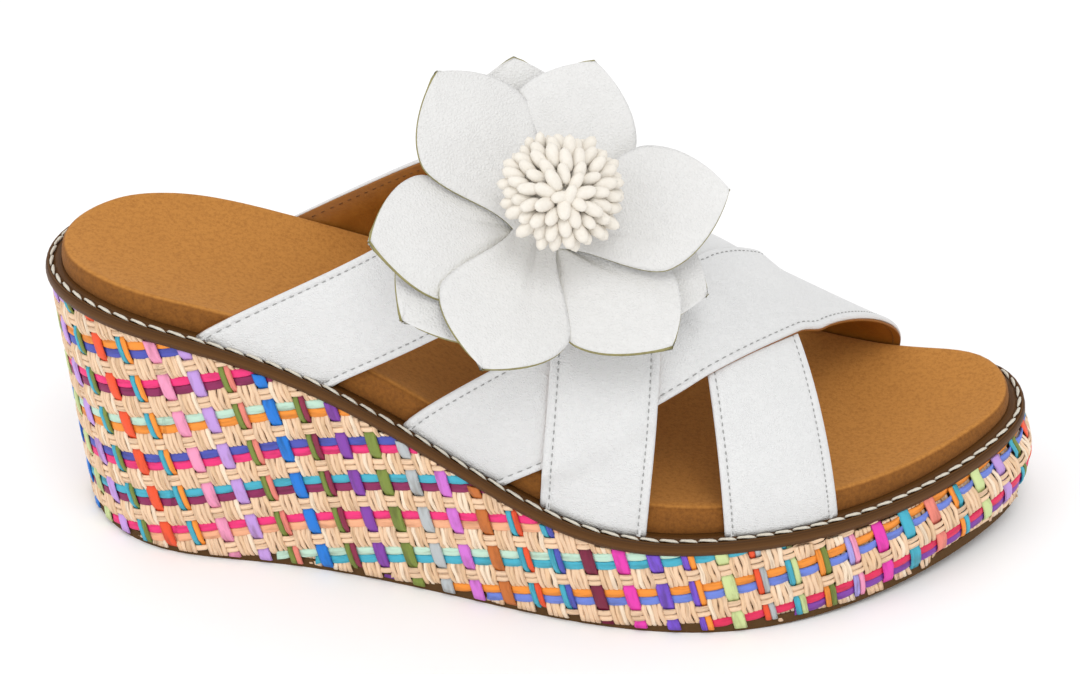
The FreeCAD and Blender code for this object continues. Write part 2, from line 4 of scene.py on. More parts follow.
import bmesh
import bpy
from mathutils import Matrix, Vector, noise
from mathutils.bvhtree import BVHTree


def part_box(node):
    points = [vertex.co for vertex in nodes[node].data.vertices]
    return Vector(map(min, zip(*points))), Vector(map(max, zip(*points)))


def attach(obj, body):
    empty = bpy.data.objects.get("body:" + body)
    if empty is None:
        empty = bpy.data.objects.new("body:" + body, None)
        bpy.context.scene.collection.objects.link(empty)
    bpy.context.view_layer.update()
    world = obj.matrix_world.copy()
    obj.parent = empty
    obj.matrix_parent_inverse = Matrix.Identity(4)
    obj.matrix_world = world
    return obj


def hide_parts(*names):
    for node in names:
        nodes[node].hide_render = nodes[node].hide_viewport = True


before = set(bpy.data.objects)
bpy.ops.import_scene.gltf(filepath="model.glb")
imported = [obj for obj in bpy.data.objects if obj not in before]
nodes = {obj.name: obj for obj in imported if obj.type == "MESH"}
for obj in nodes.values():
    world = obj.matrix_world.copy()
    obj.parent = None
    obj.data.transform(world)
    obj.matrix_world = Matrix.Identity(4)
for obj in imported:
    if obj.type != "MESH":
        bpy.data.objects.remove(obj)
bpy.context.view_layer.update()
mm = 0.001
up = Vector((0, 0, 1))
mergeReach = 0.000002    # corners nearer than this are one corner


def smooth(value):
    value = min(1.0, max(0.0, value))
    return value * value * (3 - 2 * value)


def mix(a, b, share):
    return a + (b - a) * share


# height at x of a smooth line through the points
def smoothLine(points, x):
    k = 0
    while k < len(points) - 2 and x > points[k + 1][0]:
        k += 1
    slopes = []
    for n in range(len(points)):
        before, after = points[max(0, n - 1)], points[min(len(points) - 1, n + 1)]
        slopes.append((after[1] - before[1]) / (after[0] - before[0]))
    (x0, h0), (x1, h1) = points[k], points[k + 1]
    step = x1 - x0
    p = (x - x0) / step
    return ((2 * p ** 3 - 3 * p ** 2 + 1) * h0 + (p ** 3 - 2 * p ** 2 + p) * step * slopes[k]
            + (3 * p ** 2 - 2 * p ** 3) * h1 + (p ** 3 - p ** 2) * step * slopes[k + 1])


def newMaterial(name):
    material = bpy.data.materials.new(name)
    material.use_nodes = True
    tree = material.node_tree
    shader = next(n for n in tree.nodes if n.type == "BSDF_PRINCIPLED")
    return material, tree, shader


def addNode(tree, kind, inputs=None, **settings):
    node = tree.nodes.new(kind)
    for key, value in settings.items():
        setattr(node, key, value)
    for key, value in (inputs or {}).items():
        socket = node.inputs[key]
        if isinstance(value, bpy.types.NodeSocket):
            tree.links.new(value, socket)
        else:
            socket.default_value = value
    return node


def objectPlace(tree, scale=(1, 1, 1)):
    place = addNode(tree, "ShaderNodeTexCoord").outputs["Object"]
    if scale == (1, 1, 1):
        return place
    return addNode(tree, "ShaderNodeMapping", {"Vector": place, "Scale": scale}).outputs["Vector"]


def noiseOf(tree, place, scale, detail=3.0, rough=0.55):
    made = addNode(tree, "ShaderNodeTexNoise",
                   {"Vector": place, "Scale": scale, "Detail": detail, "Roughness": rough})
    return made.outputs["Fac"]


def ramp(tree, value, stops):
    node = addNode(tree, "ShaderNodeValToRGB", {"Fac": value})
    while len(node.color_ramp.elements) < len(stops):
        node.color_ramp.elements.new(0.5)
    for element, (place, colour) in zip(node.color_ramp.elements, stops):
        element.position = place
        element.color = (*colour, 1)
    return node.outputs["Color"]


def mixColour(tree, share, a, b, blend="MIX"):
    node = addNode(tree, "ShaderNodeMix", data_type="RGBA", blend_type=blend)
    for socket, value in ((node.inputs[0], share), (node.inputs[6], a), (node.inputs[7], b)):
        if isinstance(value, bpy.types.NodeSocket):
            tree.links.new(value, socket)
        else:
            socket.default_value = value if isinstance(value, float) else (*value, 1)
    return node.outputs[2]


def mathNode(tree, operation, a, b):
    node = addNode(tree, "ShaderNodeMath", operation=operation)
    for socket, value in zip(node.inputs, (a, b)):
        if isinstance(value, bpy.types.NodeSocket):
            tree.links.new(value, socket)
        else:
            socket.default_value = value
    return node.outputs[0]


def bump(tree, shader, height, strength, distance, previous=None):
    inputs = {"Height": height, "Strength": strength, "Distance": distance}
    if previous is not None:
        inputs["Normal"] = previous
    made = addNode(tree, "ShaderNodeBump", inputs).outputs["Normal"]
    tree.links.new(made, shader.inputs["Normal"])
    return made


leatherLook = {"colour": (0.76, 0.76, 0.755), "dark": (0.70, 0.70, 0.70), "rough": 0.45, "grain": 1500.0}
petalLook = {"colour": (0.75, 0.745, 0.735), "dark": (0.68, 0.675, 0.665), "rough": 0.62, "grain": 1100.0}


def whiteLeather(name, look):
    material, tree, shader = newMaterial(name)
    place = objectPlace(tree)
    cells = addNode(tree, "ShaderNodeTexVoronoi", {"Vector": place, "Scale": look["grain"]},
                    feature="DISTANCE_TO_EDGE").outputs["Distance"]
    fine = noiseOf(tree, place, look["grain"] * 0.7, 4.0)
    broad = noiseOf(tree, place, 60.0, 3.0)
    colour = mixColour(tree, broad, look["dark"], look["colour"])
    tree.links.new(colour, shader.inputs["Base Color"])
    rough = addNode(tree, "ShaderNodeMapRange", {"Value": fine, "To Min": look["rough"] - 0.06,
                                                 "To Max": look["rough"] + 0.12})
    tree.links.new(rough.outputs["Result"], shader.inputs["Roughness"])
    shader.inputs["Specular IOR Level"].default_value = 0.4
    first = bump(tree, shader, cells, 0.8, 0.0004)
    bump(tree, shader, noiseOf(tree, place, 260.0, 3.0), 0.25, 0.0005, first)
    return material


def plainGrain(name, colour, dark, rough, scale, depth, spec=0.3):
    material, tree, shader = newMaterial(name)
    place = objectPlace(tree)
    tint = noiseOf(tree, place, scale, 4.0, 0.65)
    tree.links.new(mixColour(tree, tint, dark, colour), shader.inputs["Base Color"])
    tree.links.new(addNode(tree, "ShaderNodeMapRange", {"Value": tint, "To Min": rough - 0.08,
                                                        "To Max": rough + 0.08}).outputs["Result"],
                   shader.inputs["Roughness"])
    shader.inputs["Specular IOR Level"].default_value = spec
    bump(tree, shader, noiseOf(tree, place, scale * 2.5, 5.0, 0.7), 0.5, depth)
    return material


# side and sideDark paint the footbed's upright wall darker: partly burnished suede, partly painted shade
suedeLook = {"colour": (0.53, 0.228, 0.047), "dark": (0.37, 0.146, 0.028), "side": (0.265, 0.098, 0.016),
             "sideDark": (0.165, 0.058, 0.010)}


def suede(look):
    material, tree, shader = newMaterial("caramelSuede")
    place = objectPlace(tree)
    speckle = noiseOf(tree, place, 900.0, 5.0, 0.75)
    cloud = noiseOf(tree, place, 35.0, 3.0)
    base = ramp(tree, speckle, [(0.32, look["dark"]), (0.56, look["colour"])])
    base = mixColour(tree, mathNode(tree, "MULTIPLY", cloud, 0.35), base, look["dark"])
    # the wall attribute mixes in the darker side tint: partly burnished suede, partly painted shade
    wall = addNode(tree, "ShaderNodeAttribute", attribute_name="wall").outputs["Fac"]
    sideBurnishAndShade = ramp(tree, speckle, [(0.3, look["sideDark"]), (0.6, look["side"])])
    base = mixColour(tree, wall, base, sideBurnishAndShade)
    tree.links.new(base, shader.inputs["Base Color"])
    shader.inputs["Roughness"].default_value = 0.85
    shader.inputs["Specular IOR Level"].default_value = 0.2
    shader.inputs["Sheen Weight"].default_value = 0.12
    shader.inputs["Sheen Roughness"].default_value = 0.5
    shader.inputs["Sheen Tint"].default_value = (0.9, 0.62, 0.38, 1)
    bump(tree, shader, noiseOf(tree, place, 2200.0, 4.0, 0.7), 0.45, 0.00025)
    return material


def raffiaPaper():
    material, tree, shader = newMaterial("dyedRaffia")
    dye = addNode(tree, "ShaderNodeAttribute", attribute_name="dye").outputs["Color"]
    along = addNode(tree, "ShaderNodeAttribute", attribute_name="along").outputs["Fac"]
    across = addNode(tree, "ShaderNodeAttribute", attribute_name="across").outputs["Fac"]
    place = addNode(tree, "ShaderNodeCombineXYZ", {"X": mathNode(tree, "MULTIPLY", along, 90.0),
                                                   "Y": mathNode(tree, "MULTIPLY", across, 5.0)})
    fibre = addNode(tree, "ShaderNodeTexNoise", {"Vector": place.outputs[0], "Scale": 1.0, "Detail": 4.0,
                                                 "Roughness": 0.6}).outputs["Fac"]
    shade = ramp(tree, fibre, [(0.30, (0.58, 0.54, 0.50)), (0.5, (0.95, 0.95, 0.95)), (0.75, (1, 1, 1))])
    tree.links.new(mixColour(tree, 1.0, dye, shade, "MULTIPLY"), shader.inputs["Base Color"])
    shader.inputs["Roughness"].default_value = 0.5
    shader.inputs["Specular IOR Level"].default_value = 0.35
    bump(tree, shader, fibre, 0.7, 0.0004)
    return material


def weltStrip():
    material, tree, shader = newMaterial("burnishedWelt")
    level = addNode(tree, "ShaderNodeAttribute", attribute_name="level").outputs["Fac"]
    along = addNode(tree, "ShaderNodeAttribute", attribute_name="along").outputs["Fac"]
    place = addNode(tree, "ShaderNodeCombineXYZ", {"X": mathNode(tree, "MULTIPLY", along, 18.0),
                                                   "Y": mathNode(tree, "MULTIPLY", level, 9.0)})
    streak = addNode(tree, "ShaderNodeTexNoise", {"Vector": place.outputs[0], "Scale": 1.0, "Detail": 6.0,
                                                  "Roughness": 0.7}).outputs["Fac"]
    tree.links.new(ramp(tree, streak, [(0.3, (0.030, 0.012, 0.003)), (0.55, (0.105, 0.043, 0.010)),
                                       (0.8, (0.24, 0.115, 0.034))]), shader.inputs["Base Color"])
    shader.inputs["Roughness"].default_value = 0.45
    shader.inputs["Specular IOR Level"].default_value = 0.14
    bump(tree, shader, streak, 0.4, 0.0003)
    return material


whiteStrap = whiteLeather("whiteLeather", leatherLook)
petalFace = whiteLeather("petalLeather", petalLook)
petalEdge = plainGrain("petalRawEdge", (0.42, 0.38, 0.16), (0.16, 0.14, 0.06), 0.8, 700.0, 0.0002)
tanLining = plainGrain("tanLining", (0.35, 0.130, 0.014), (0.23, 0.075, 0.007), 0.5, 420.0, 0.0003)
tanThread = plainGrain("tanThread", (0.24, 0.11, 0.03), (0.12, 0.05, 0.015), 0.7, 2400.0, 0.0002)
caramelSuede = suede(suedeLook)
raffia = raffiaPaper()
burnishedWelt = weltStrip()
brownRubber = plainGrain("brownRubber", (0.125, 0.064, 0.022), (0.07, 0.034, 0.011), 0.7, 900.0, 0.0002, 0.12)
corkFoam = plainGrain("wallBacking", (0.36, 0.25, 0.14), (0.2, 0.13, 0.07), 0.9, 500.0, 0.0003)
creamThread = plainGrain("creamThread", (0.80, 0.76, 0.66), (0.55, 0.50, 0.41), 0.7, 2400.0, 0.0003)
greyThread = plainGrain("greyThread", (0.42, 0.42, 0.41), (0.27, 0.27, 0.265), 0.7, 2400.0, 0.0002)
stamenPearl = plainGrain("stamenCoat", (0.87, 0.83, 0.76), (0.76, 0.70, 0.61), 0.42, 900.0, 0.0003)
print("materials made")


def treeOf(name):
    mesh = nodes[name].data
    return BVHTree.FromPolygons([v.co.copy() for v in mesh.vertices],
                                [tuple(p.vertices) for p in mesh.polygons])


coverTree = treeOf("footbed_cover")
wrapTree = treeOf("raffia_wrap")
weltTree = treeOf("welt")
footLow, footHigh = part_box("footbed_cover")
above = 0.3    # rays straight down start at this height
# mm from the footbed's box to its back end and its middle line
sole = {"back": 0.508, "outer": 50.986}
backX = footLow.x - sole["back"] * mm


# a point given in mm: along from the footbed's back end, in from its middle line, up from the ground
def overSole(x, y, z):
    return Vector((backX + x * mm, footLow.y + (sole["outer"] + y) * mm, z * mm))


# stations along each side and round each end, where the ends' fans stand, levels up the wrapped wall
ring = {"side": 110, "fan": 44, "heelIn": 0.030, "toeIn": 0.040, "levels": 12}
# how the walls are read: longest ray, its step, how far inside an edge a height is read, in m
reading = {"reach": 0.12, "step": 0.0005, "inside": 0.0015, "edge": 0.0008, "jump": 0.003}


# how far out along a ray the tree's outermost wall stands at a height
def across(tree, ray, z):
    origin, way = ray
    hit = tree.ray_cast(Vector((origin.x, origin.y, z)) + way * above, -way)[0]
    return (hit - Vector((origin.x, origin.y, z))).dot(way) if hit else None


def down(tree, point):
    hit = tree.ray_cast(Vector((point.x, point.y, above)), -up)[0]
    return hit.z if hit else None


# rays out from the sole's middle line, in order round it from the heel's outer side
def ringRays():
    ends = []
    for x in (footLow.x + ring["heelIn"], footHigh.x - ring["toeIn"]):
        z = down(coverTree, Vector((x, (footLow.y + footHigh.y) / 2, 0)))
        origin = Vector((x, 0, 0))
        outer = across(coverTree, (origin, Vector((0, -1, 0))), z - 0.002)
        inner = across(coverTree, (origin, Vector((0, 1, 0))), z - 0.002)
        ends.append(Vector((x, (inner - outer) / 2, 0)))
    heel, toe = ends
    found = []
    for start, end, side, turn in ((heel, toe, -1, -math.pi / 2), (toe, heel, 1, math.pi / 2)):
        for i in range(ring["side"]):
            found.append((start.lerp(end, i / ring["side"]), Vector((0, side, 0))))
        for i in range(ring["fan"]):
            angle = turn + math.pi * i / ring["fan"]
            found.append((end, Vector((math.cos(angle), math.sin(angle), 0))))
    return found


# radii and heights of the welt, the footbed's wall and the wrapped wall along one ray
def readStation(ray):
    origin, way = ray
    reach, step, inside, edge = (reading[key] for key in ("reach", "step", "inside", "edge"))
    while down(weltTree, origin + way * reach) is None:
        reach -= step
    weltTop = down(weltTree, origin + way * (reach - inside))
    under = weltTree.ray_cast(Vector((*(origin + way * (reach - mm)).xy, -0.05)), up)[0]
    station = {"ray": ray, "welt": across(weltTree, ray, weltTop - inside), "weltTop": weltTop}
    station["foot"] = across(coverTree, ray, weltTop + mm)
    station["rim"] = down(coverTree, origin + way * (station["foot"] - edge))
    high = under.z - edge
    low = high
    radius = across(wrapTree, ray, high)
    while True:
        further = across(wrapTree, ray, low - step)
        if further is None or abs(further - radius) > reading["jump"]:
            break
        radius = further
        low -= step
    levels = [across(wrapTree, ray, mix(low, high, k / ring["levels"])) for k in range(ring["levels"] + 1)]
    station.update(low=low, high=high, radii=levels)
    return station


rays = ringRays()
stations = [readStation(ray) for ray in rays]
count = len(stations)


def wallOn(station, z):
    share = (z - station["low"]) / (station["high"] - station["low"]) * ring["levels"]
    k = min(ring["levels"] - 1, max(0, int(share)))
    radius = mix(station["radii"][k], station["radii"][k + 1], share - k)
    origin, way = station["ray"]
    return Vector((*(origin + way * radius).xy, z))


# distance round the wrapped wall at each station, and each station's outward direction
def measureRound():
    places = [wallOn(s, s["high"]) for s in stations]
    places = [Vector((p.x, p.y, 0)) for p in places]
    walked = [0.0]
    for i in range(count):
        walked.append(walked[-1] + (places[(i + 1) % count] - places[i]).length)
    facing = []
    for i in range(count):
        tangent = places[(i + 2) % count] - places[i - 2]
        facing.append(Vector((tangent.y, -tangent.x, 0)).normalized())
    return walked, facing


walked, facing = measureRound()
girth = walked[-1]
print("outline read, %d stations, %.0f mm round" % (count, girth / mm))


# whole station number and the share of the way to the next, at a distance round the sole
def stationAt(s):
    s = s % girth
    low, high = 0, count
    while high - low > 1:
        middle = (low + high) // 2
        if walked[middle] <= s:
            low = middle
        else:
            high = middle
    return low, (s - walked[low]) / (walked[low + 1] - walked[low])


# repeat round the sole, height of a row, widths and thickness of the strands, in mm;
# bite, full and the overs shape how strands pass over and under; climb is how far the rows rise
# by each share of the sole's length
weave = {"repeat": 8.5, "row": 12.0, "firstRow": 71.2, "lean": 0.26, "leanFrom": 93.0, "firstWarp": 5,
         "toeBulge": 2.4, "toeFrom": 0.70, "toeLength": 0.25, "warp": 3.2, "bundle": 1.28, "dyedWeft": 2.7,
         "weft": 1.75, "backingInside": 1.0, "backingInner": 1.8, "wander": 0.3,
         "flat": 0.7, "swing": 0.62, "sample": 8, "tuck": 1.4, "lowTuck": 0.6,
         "bite": 2.2, "full": 0.95, "dyedOver": 0.45, "bundleOver": 0.15, "dyedDip": 0.35,
         "climb": ((0.0, 0.0), (0.24, 15.2), (0.48, 30.4), (0.58, 34.9), (0.70, 38.8), (0.85, 44.6),
                   (1.0, 51.0))}


# a point on the wrapped wall and its outward direction
def wallAt(s, z):
    i, share = stationAt(s)
    near, far = stations[i], stations[(i + 1) % count]
    point = wallOn(near, z).lerp(wallOn(far, z), share)
    outward = facing[i].lerp(facing[(i + 1) % count], share).normalized()
    toe = smooth((point.x - mix(footLow.x, footHigh.x, weave["toeFrom"]))
                 / (weave["toeLength"] * (footHigh.x - footLow.x)))
    height = (z - near["low"]) / (near["high"] - near["low"])
    proud = weave["toeBulge"] * mm * toe * math.sin(math.pi * min(1.0, max(0.0, height)))
    return point + outward * proud, outward


def stationValue(s, key):
    i, share = stationAt(s)
    return mix(stations[i][key], stations[(i + 1) % count][key], share)


# a grid whose corners are set by place(i, j); edges that land together are merged later
def gridSheet(bm, columns, rows, place):
    made = bmesh.ops.create_grid(bm, x_segments=columns, y_segments=rows, size=0.5)["verts"]
    for vert in made:
        i = round((vert.co.x + 0.5) * columns)
        j = round((vert.co.y + 0.5) * rows)
        vert.co = place(i, j, vert)


def addPiece(name, bm, materials, closed=True):
    bmesh.ops.remove_doubles(bm, verts=bm.verts, dist=mergeReach)
    if closed:
        bmesh.ops.recalc_face_normals(bm, faces=bm.faces)
    mesh = bpy.data.meshes.new(name)
    bm.to_mesh(mesh)
    bm.free()
    for material in materials:
        mesh.materials.append(material)
    mesh.polygons.foreach_set("use_smooth", [True] * len(mesh.polygons))
    piece = bpy.data.objects.new(name, mesh)
    bpy.context.scene.collection.objects.link(piece)
    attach(piece, "root")
    return piece


# heights in mm; shares are where the top's rings stand on the way from the crest to the middle line
footbed = {"crest": 1.6, "belowWelt": 1.0, "depth": 5.0, "bulge": 0.35,
           "shares": (0.05, 0.10, 0.17, 0.26, 0.38, 0.52, 0.68, 0.85, 1.0)}


# point j of a station's profile: under the footbed, up its wall, over the crest, in over the top
def footbedRow(station, j):
    origin, way = station["ray"]
    wall, rim, low = station["foot"], station["rim"], station["weltTop"] - footbed["belowWelt"] * mm
    crest = footbed["crest"] * mm
    if j == 0:
        return Vector((origin.x, origin.y, down(coverTree, origin) - footbed["depth"] * mm)), 1.0
    if j == 1:
        return Vector((*(origin + way * (wall - 2 * mm)).xy, low)), 1.0
    if j <= 7:
        share = (j - 2) / 5
        bulge = footbed["bulge"] * mm * math.sin(math.pi * share)
        return Vector((*(origin + way * (wall + bulge)).xy, mix(low, rim - crest, share))), 1.0
    if j <= 11:
        angle = (j - 7) / 4 * math.pi / 2
        out = wall - crest * (1 - math.cos(angle))
        z = rim - crest + crest * math.sin(angle)
        return Vector((*(origin + way * out).xy, z)), 1.0 if j < 10 else 0.0
    share = footbed["shares"][j - 12]
    spot = origin + way * (wall - crest) * (1 - share)
    top = coverTree.ray_cast(Vector((spot.x, spot.y, above)), -up)[0]
    return Vector((spot.x, spot.y, top.z)), 0.0


def makeFootbed():
    bm = bmesh.new()
    # the wall layer marks the upright wall, painted darker: partly burnished suede, partly painted shade
    wallLayer = bm.verts.layers.float.new("wall")
    profile = 12 + len(footbed["shares"]) - 1

    def place(i, j, vert):
        point, side = footbedRow(stations[i % count], j)
        vert[wallLayer] = side
        return point

    gridSheet(bm, count, profile, place)
    piece = addPiece("footbed_padding", bm, [caramelSuede])
    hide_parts("footbed_cover")
    return piece


makeFootbed()
print("footbed made")


# profile from the footbed's wall outwards and back underneath: share of the width, height in mm
weltLook = {"profile": ((-0.30, -1.2), (-0.02, 0.2), (0.25, 0.28), (0.47, 0.2), (0.54, -0.28), (0.60, -0.36),
                        (0.73, -0.36), (0.79, 0.1), (0.88, 0.25), (0.96, -0.2), (1.01, -1.0), (1.03, -1.8),
                        (1.0, -2.7), (0.93, -3.5), (0.70, -3.9), (0.30, -3.9), (-0.30, -3.9))}


def makeWelt():
    bm = bmesh.new()
    levelLayer = bm.verts.layers.float.new("level")
    profile = weltLook["profile"]

    def place(i, j, vert):
        station = stations[i % count]
        origin, way = station["ray"]
        share, height = profile[j % len(profile)]
        radius = mix(station["foot"], station["welt"], share)
        vert[levelLayer] = max(0.0, share)
        return Vector((*(origin + way * radius).xy, station["weltTop"] + height * mm))

    gridSheet(bm, count, len(profile), place)
    piece = addPiece("welt_rolled", bm, [burnishedWelt])
    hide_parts("welt")


# in mm, but inset is a share of the welt's width; ends dip into the welt and lean outwards
stitchLook = {"pitch": 4.9, "length": 5.3, "thick": 0.85, "inset": 0.66, "twist": 0.16, "tone": 0.04,
              "dip": 0.55, "lean": 0.35, "lift": 0.35, "rings": 7, "around": 8}


def makeWeltStitches():
    bm = bmesh.new()
    total = round(girth / (stitchLook["pitch"] * mm))
    rings, around = stitchLook["rings"], stitchLook["around"]
    for n in range(total):
        middle = girth * n / total
        half = stitchLook["length"] / 2 * mm * random.uniform(0.96, 1.03)
        tone = random.uniform(-stitchLook["tone"], stitchLook["tone"])

        def place(i, j, vert):
            share = i / rings * 2 - 1
            s = middle + share * half
            index, part = stationAt(s)
            ends = []
            for station in (stations[index], stations[(index + 1) % count]):
                origin, way = station["ray"]
                radius = mix(station["foot"], station["welt"], stitchLook["inset"])
                ends.append(Vector((*(origin + way * radius).xy, station["weltTop"])))
            centre = ends[0].lerp(ends[1], part)
            out = facing[index].lerp(facing[(index + 1) % count], part).normalized()
            angle = 2 * math.pi * j / around
            fat = math.sqrt(max(0.0, 1 - abs(share) ** 3.0))
            fat *= stitchLook["thick"] / 2 * mm * (1 + stitchLook["twist"] * math.cos(2 * angle + 5 * share))
            dip = stitchLook["dip"] * mm * share ** 4
            lean = stitchLook["lean"] * mm * share
            lift = stitchLook["lift"] * mm - dip
            return (centre + out * (math.cos(angle) * fat + lean)
                    + up * (math.sin(angle) * fat * 0.9 + lift + tone * mm))

        gridSheet(bm, rings, around, place)
    piece = addPiece("welt_stitches", bm, [creamThread])
    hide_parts("welt_thread")


random.seed(11)
makeWelt()
makeWeltStitches()
print("welt and stitches made")


dyes = {"cyan": "58b8d8", "lilac": "c39be0", "orange": "f89634", "indigo": "4d55b4", "lavender": "a79fe2",
        "hotPink": "f2327c", "plum": "8c2358", "mint": "c3e4d0", "pink": "f49cc0", "turquoise": "45b0c8",
        "peach": "f8b58c", "periwinkle": "6f86dc", "crimson": "e62a5c", "purple": "8743ac",
        "orangeRed": "f4562c", "blue": "1d7ad8", "olive": "7c8c3c", "wine": "8c2a48", "silver": "b6bcbe",
        "orchid": "d274d4", "brownOrange": "c87030", "burgundy": "7c1e3e", "fuchsia": "ea3cb2",
        "violet": "7a52d2", "lime": "cddc9a", "salmon": "f28a7a", "natural": "f2cfac", "pale": "f9e3c8",
        "toasted": "ecc7a0"}
rowDyes = (("cyan", "lilac"), ("orange", "indigo"), ("hotPink", "plum"), ("mint", "orange"),
           ("indigo", "hotPink"), ("turquoise", "plum"), ("hotPink", "peach"), ("mint", "turquoise"),
           ("orange", "periwinkle"), ("crimson", "purple"), ("turquoise", "salmon"))
warpDyes = ("lilac", "turquoise olive", "orangeRed", "turquoise orange", "pink", "lilac", "olive salmon",
            "blue", "olive wine", "purple", "olive", "silver", "orchid", "brownOrange", "turquoise orangeRed",
            "turquoise indigo", "burgundy", "fuchsia", "violet", "violet orange", "lime", "orangeRed silver",
            "turquoise lime", "orange olive", "lavender pink", "fuchsia", "turquoise", "salmon",
            "orange turquoise", "lime")


# a dye's colour for the shader, from its six-figure colour-book code
def dye(name):
    code = dyes[name]
    parts = [int(code[k:k + 2], 16) / 255 for k in (0, 2, 4)]
    return tuple(((p + 0.055) / 1.055) ** 2.4 for p in parts)


def varied(colour, amount):
    shade = 1 + random.uniform(-amount, amount)
    return (*[min(1.0, c * shade) for c in colour], 1.0)


# how far the woven rows climb from the heel by a place along the sole
def rowRise(x):
    share = (x - footLow.x) / (footHigh.x - footLow.x)
    return smoothLine(weave["climb"], max(0.0, share)) * mm


# height of a strand that goes over and under, -1 to 1; over tells which of the two lasts longer
def crossing(phase, over):
    return max(-1.0, min(1.0, math.tanh(weave["bite"] * (math.cos(phase) + over)) / weave["full"]))


# a flattened strand along a path of points with their outward and sideways directions
def addStrand(bm, layers, path, width, colour, loop=False):
    dyeLayer, alongLayer, acrossLayer = layers
    if not loop:
        path = [path[0], *path, path[-1]]    # flat ends
    segments = len(path) - 1
    thick = weave["flat"] * mm
    start = random.uniform(0, 50)

    def place(i, j, vert):
        point, outward, sideways, walk = path[i]
        angle = math.pi / 3 * j
        wide = math.copysign(abs(math.cos(angle)) ** (0.45 if width > 2 else 0.8), math.cos(angle))
        size = 0.0 if not loop and i in (0, segments) else 1.0
        vert[dyeLayer] = colour
        vert[alongLayer] = start + walk / mm * 0.001
        vert[acrossLayer] = j / 6 + start
        return (point + sideways * (wide * width / 2 * mm * size)
                + outward * (math.sin(angle) * thick / 2 * size))

    gridSheet(bm, segments, 6, place)


def weaveMesh():
    bm = bmesh.new()
    layers = (bm.verts.layers.float_color.new("dye"), bm.verts.layers.float.new("along"),
              bm.verts.layers.float.new("across"))
    return bm, layers


repeats = round(girth / (weave["repeat"] * mm))
repeat = girth / repeats
row = weave["row"] * mm


# a strand up the wall, leaning as the cloth does, from under the sole's edge to under the welt
def warpPath(u, dyed, wander=0.0):
    path = []
    top = weave["leanFrom"] * mm
    z = top
    step = row / weave["sample"]
    while True:
        s = u + weave["lean"] * (top - z)
        if z > stationValue(s, "high") + weave["tuck"] * mm:
            z -= step
            continue
        low = stationValue(s, "low") - weave["lowTuck"] * mm
        point, outward = wallAt(s, z)
        height = (z - rowRise(point.x) - weave["firstRow"] * mm) / row * 2 * math.pi
        lift = weave["swing"] * mm * (crossing(height, weave["dyedOver"]) if dyed
                                      else -crossing(height, -weave["bundleOver"]))
        ahead, _ = wallAt(s + 0.001, z)
        sideways = (ahead - point).normalized()
        sway = wander * mm * math.sin(z / mm * 0.9 + u / mm)
        path.append((point + outward * lift + sideways * sway, outward, sideways, top - z))
        if z < low:
            return path
        z -= step


def makeWarps():
    bm, layers = weaveMesh()
    natural, naturalLayers = weaveMesh()
    for n in range(repeats):
        u = repeat * n
        fromHeel = n if n < 0.9 * repeats else n - repeats
        names = warpDyes[(fromHeel + weave["firstWarp"]) % len(warpDyes)].split()
        width = weave["warp"] / len(names)    # two names share one upright
        for k, name in enumerate(names):
            side = u + (k - (len(names) - 1) / 2) * width * mm
            addStrand(bm, layers, warpPath(side, True), width * 1.08, varied(dye(name), 0.06))
        for k in (-1.5, -0.5, 0.5, 1.5):
            side = u + repeat / 2 + (k + random.uniform(-0.12, 0.12)) * weave["bundle"] * mm
            tone = random.choice(("natural", "natural", "pale", "toasted"))
            wander = random.uniform(-weave["wander"], weave["wander"])
            addStrand(natural, naturalLayers, warpPath(side, False, wander), weave["bundle"] * 1.15,
                      varied(dye(tone), 0.05))
    return (addPiece("raffia_warps_dyed", bm, [raffia]), addPiece("raffia_warps_natural", natural, [raffia]))


# the runs of a strand round the wall at one row height, broken where welt or sole hide it
def weftPaths(v, dyed):
    steps = repeats * weave["sample"]
    samples = []
    for n in range(steps + 1):
        s = girth * n / steps
        point, outward = wallAt(s, 0.02)
        z = v + rowRise(point.x)
        high, low = stationValue(s, "high"), stationValue(s, "low")
        if not low - weave["lowTuck"] * mm < z < high + weave["tuck"] * mm:
            samples.append(None)
            continue
        point, outward = wallAt(s, z)
        u = s - weave["lean"] * (weave["leanFrom"] * mm - z)
        around = u / repeat * 2 * math.pi
        lift = weave["swing"] * mm * crossing(around, 0.0) * (-weave["dyedDip"] if dyed else 1.0)
        samples.append((point + outward * lift, outward, up, s))
    runs, run = [], []
    for sample in samples:
        if sample:
            run.append(sample)
        elif run:
            runs.append(run)
            run = []
    if run and runs and samples[0]:
        runs[0] = run[:-1] + runs[0]
    else:
        runs.append(run)
    return [r for r in runs if len(r) > 3]


def makeWefts():
    bm, layers = weaveMesh()
    natural, naturalLayers = weaveMesh()
    for number, pair in enumerate(rowDyes):
        v = weave["firstRow"] * mm - row * number
        for name, side in zip(pair, (0.5, -0.5)):
            colour = varied(dye(name), 0.03)
            for path in weftPaths(v + side * weave["dyedWeft"] * mm, True):
                addStrand(bm, layers, path, weave["dyedWeft"] * 1.05, colour,
                          loop=path[0][3] == 0 and path[-1][3] == girth)
        for side in (0.5, -0.5):
            colour = varied(dye("natural"), 0.06)
            for path in weftPaths(v + row / 2 + side * weave["weft"] * mm, False):
                addStrand(natural, naturalLayers, path, weave["weft"], colour,
                          loop=path[0][3] == 0 and path[-1][3] == girth)
    return (addPiece("raffia_wefts_dyed", bm, [raffia]), addPiece("raffia_wefts_natural", natural, [raffia]))


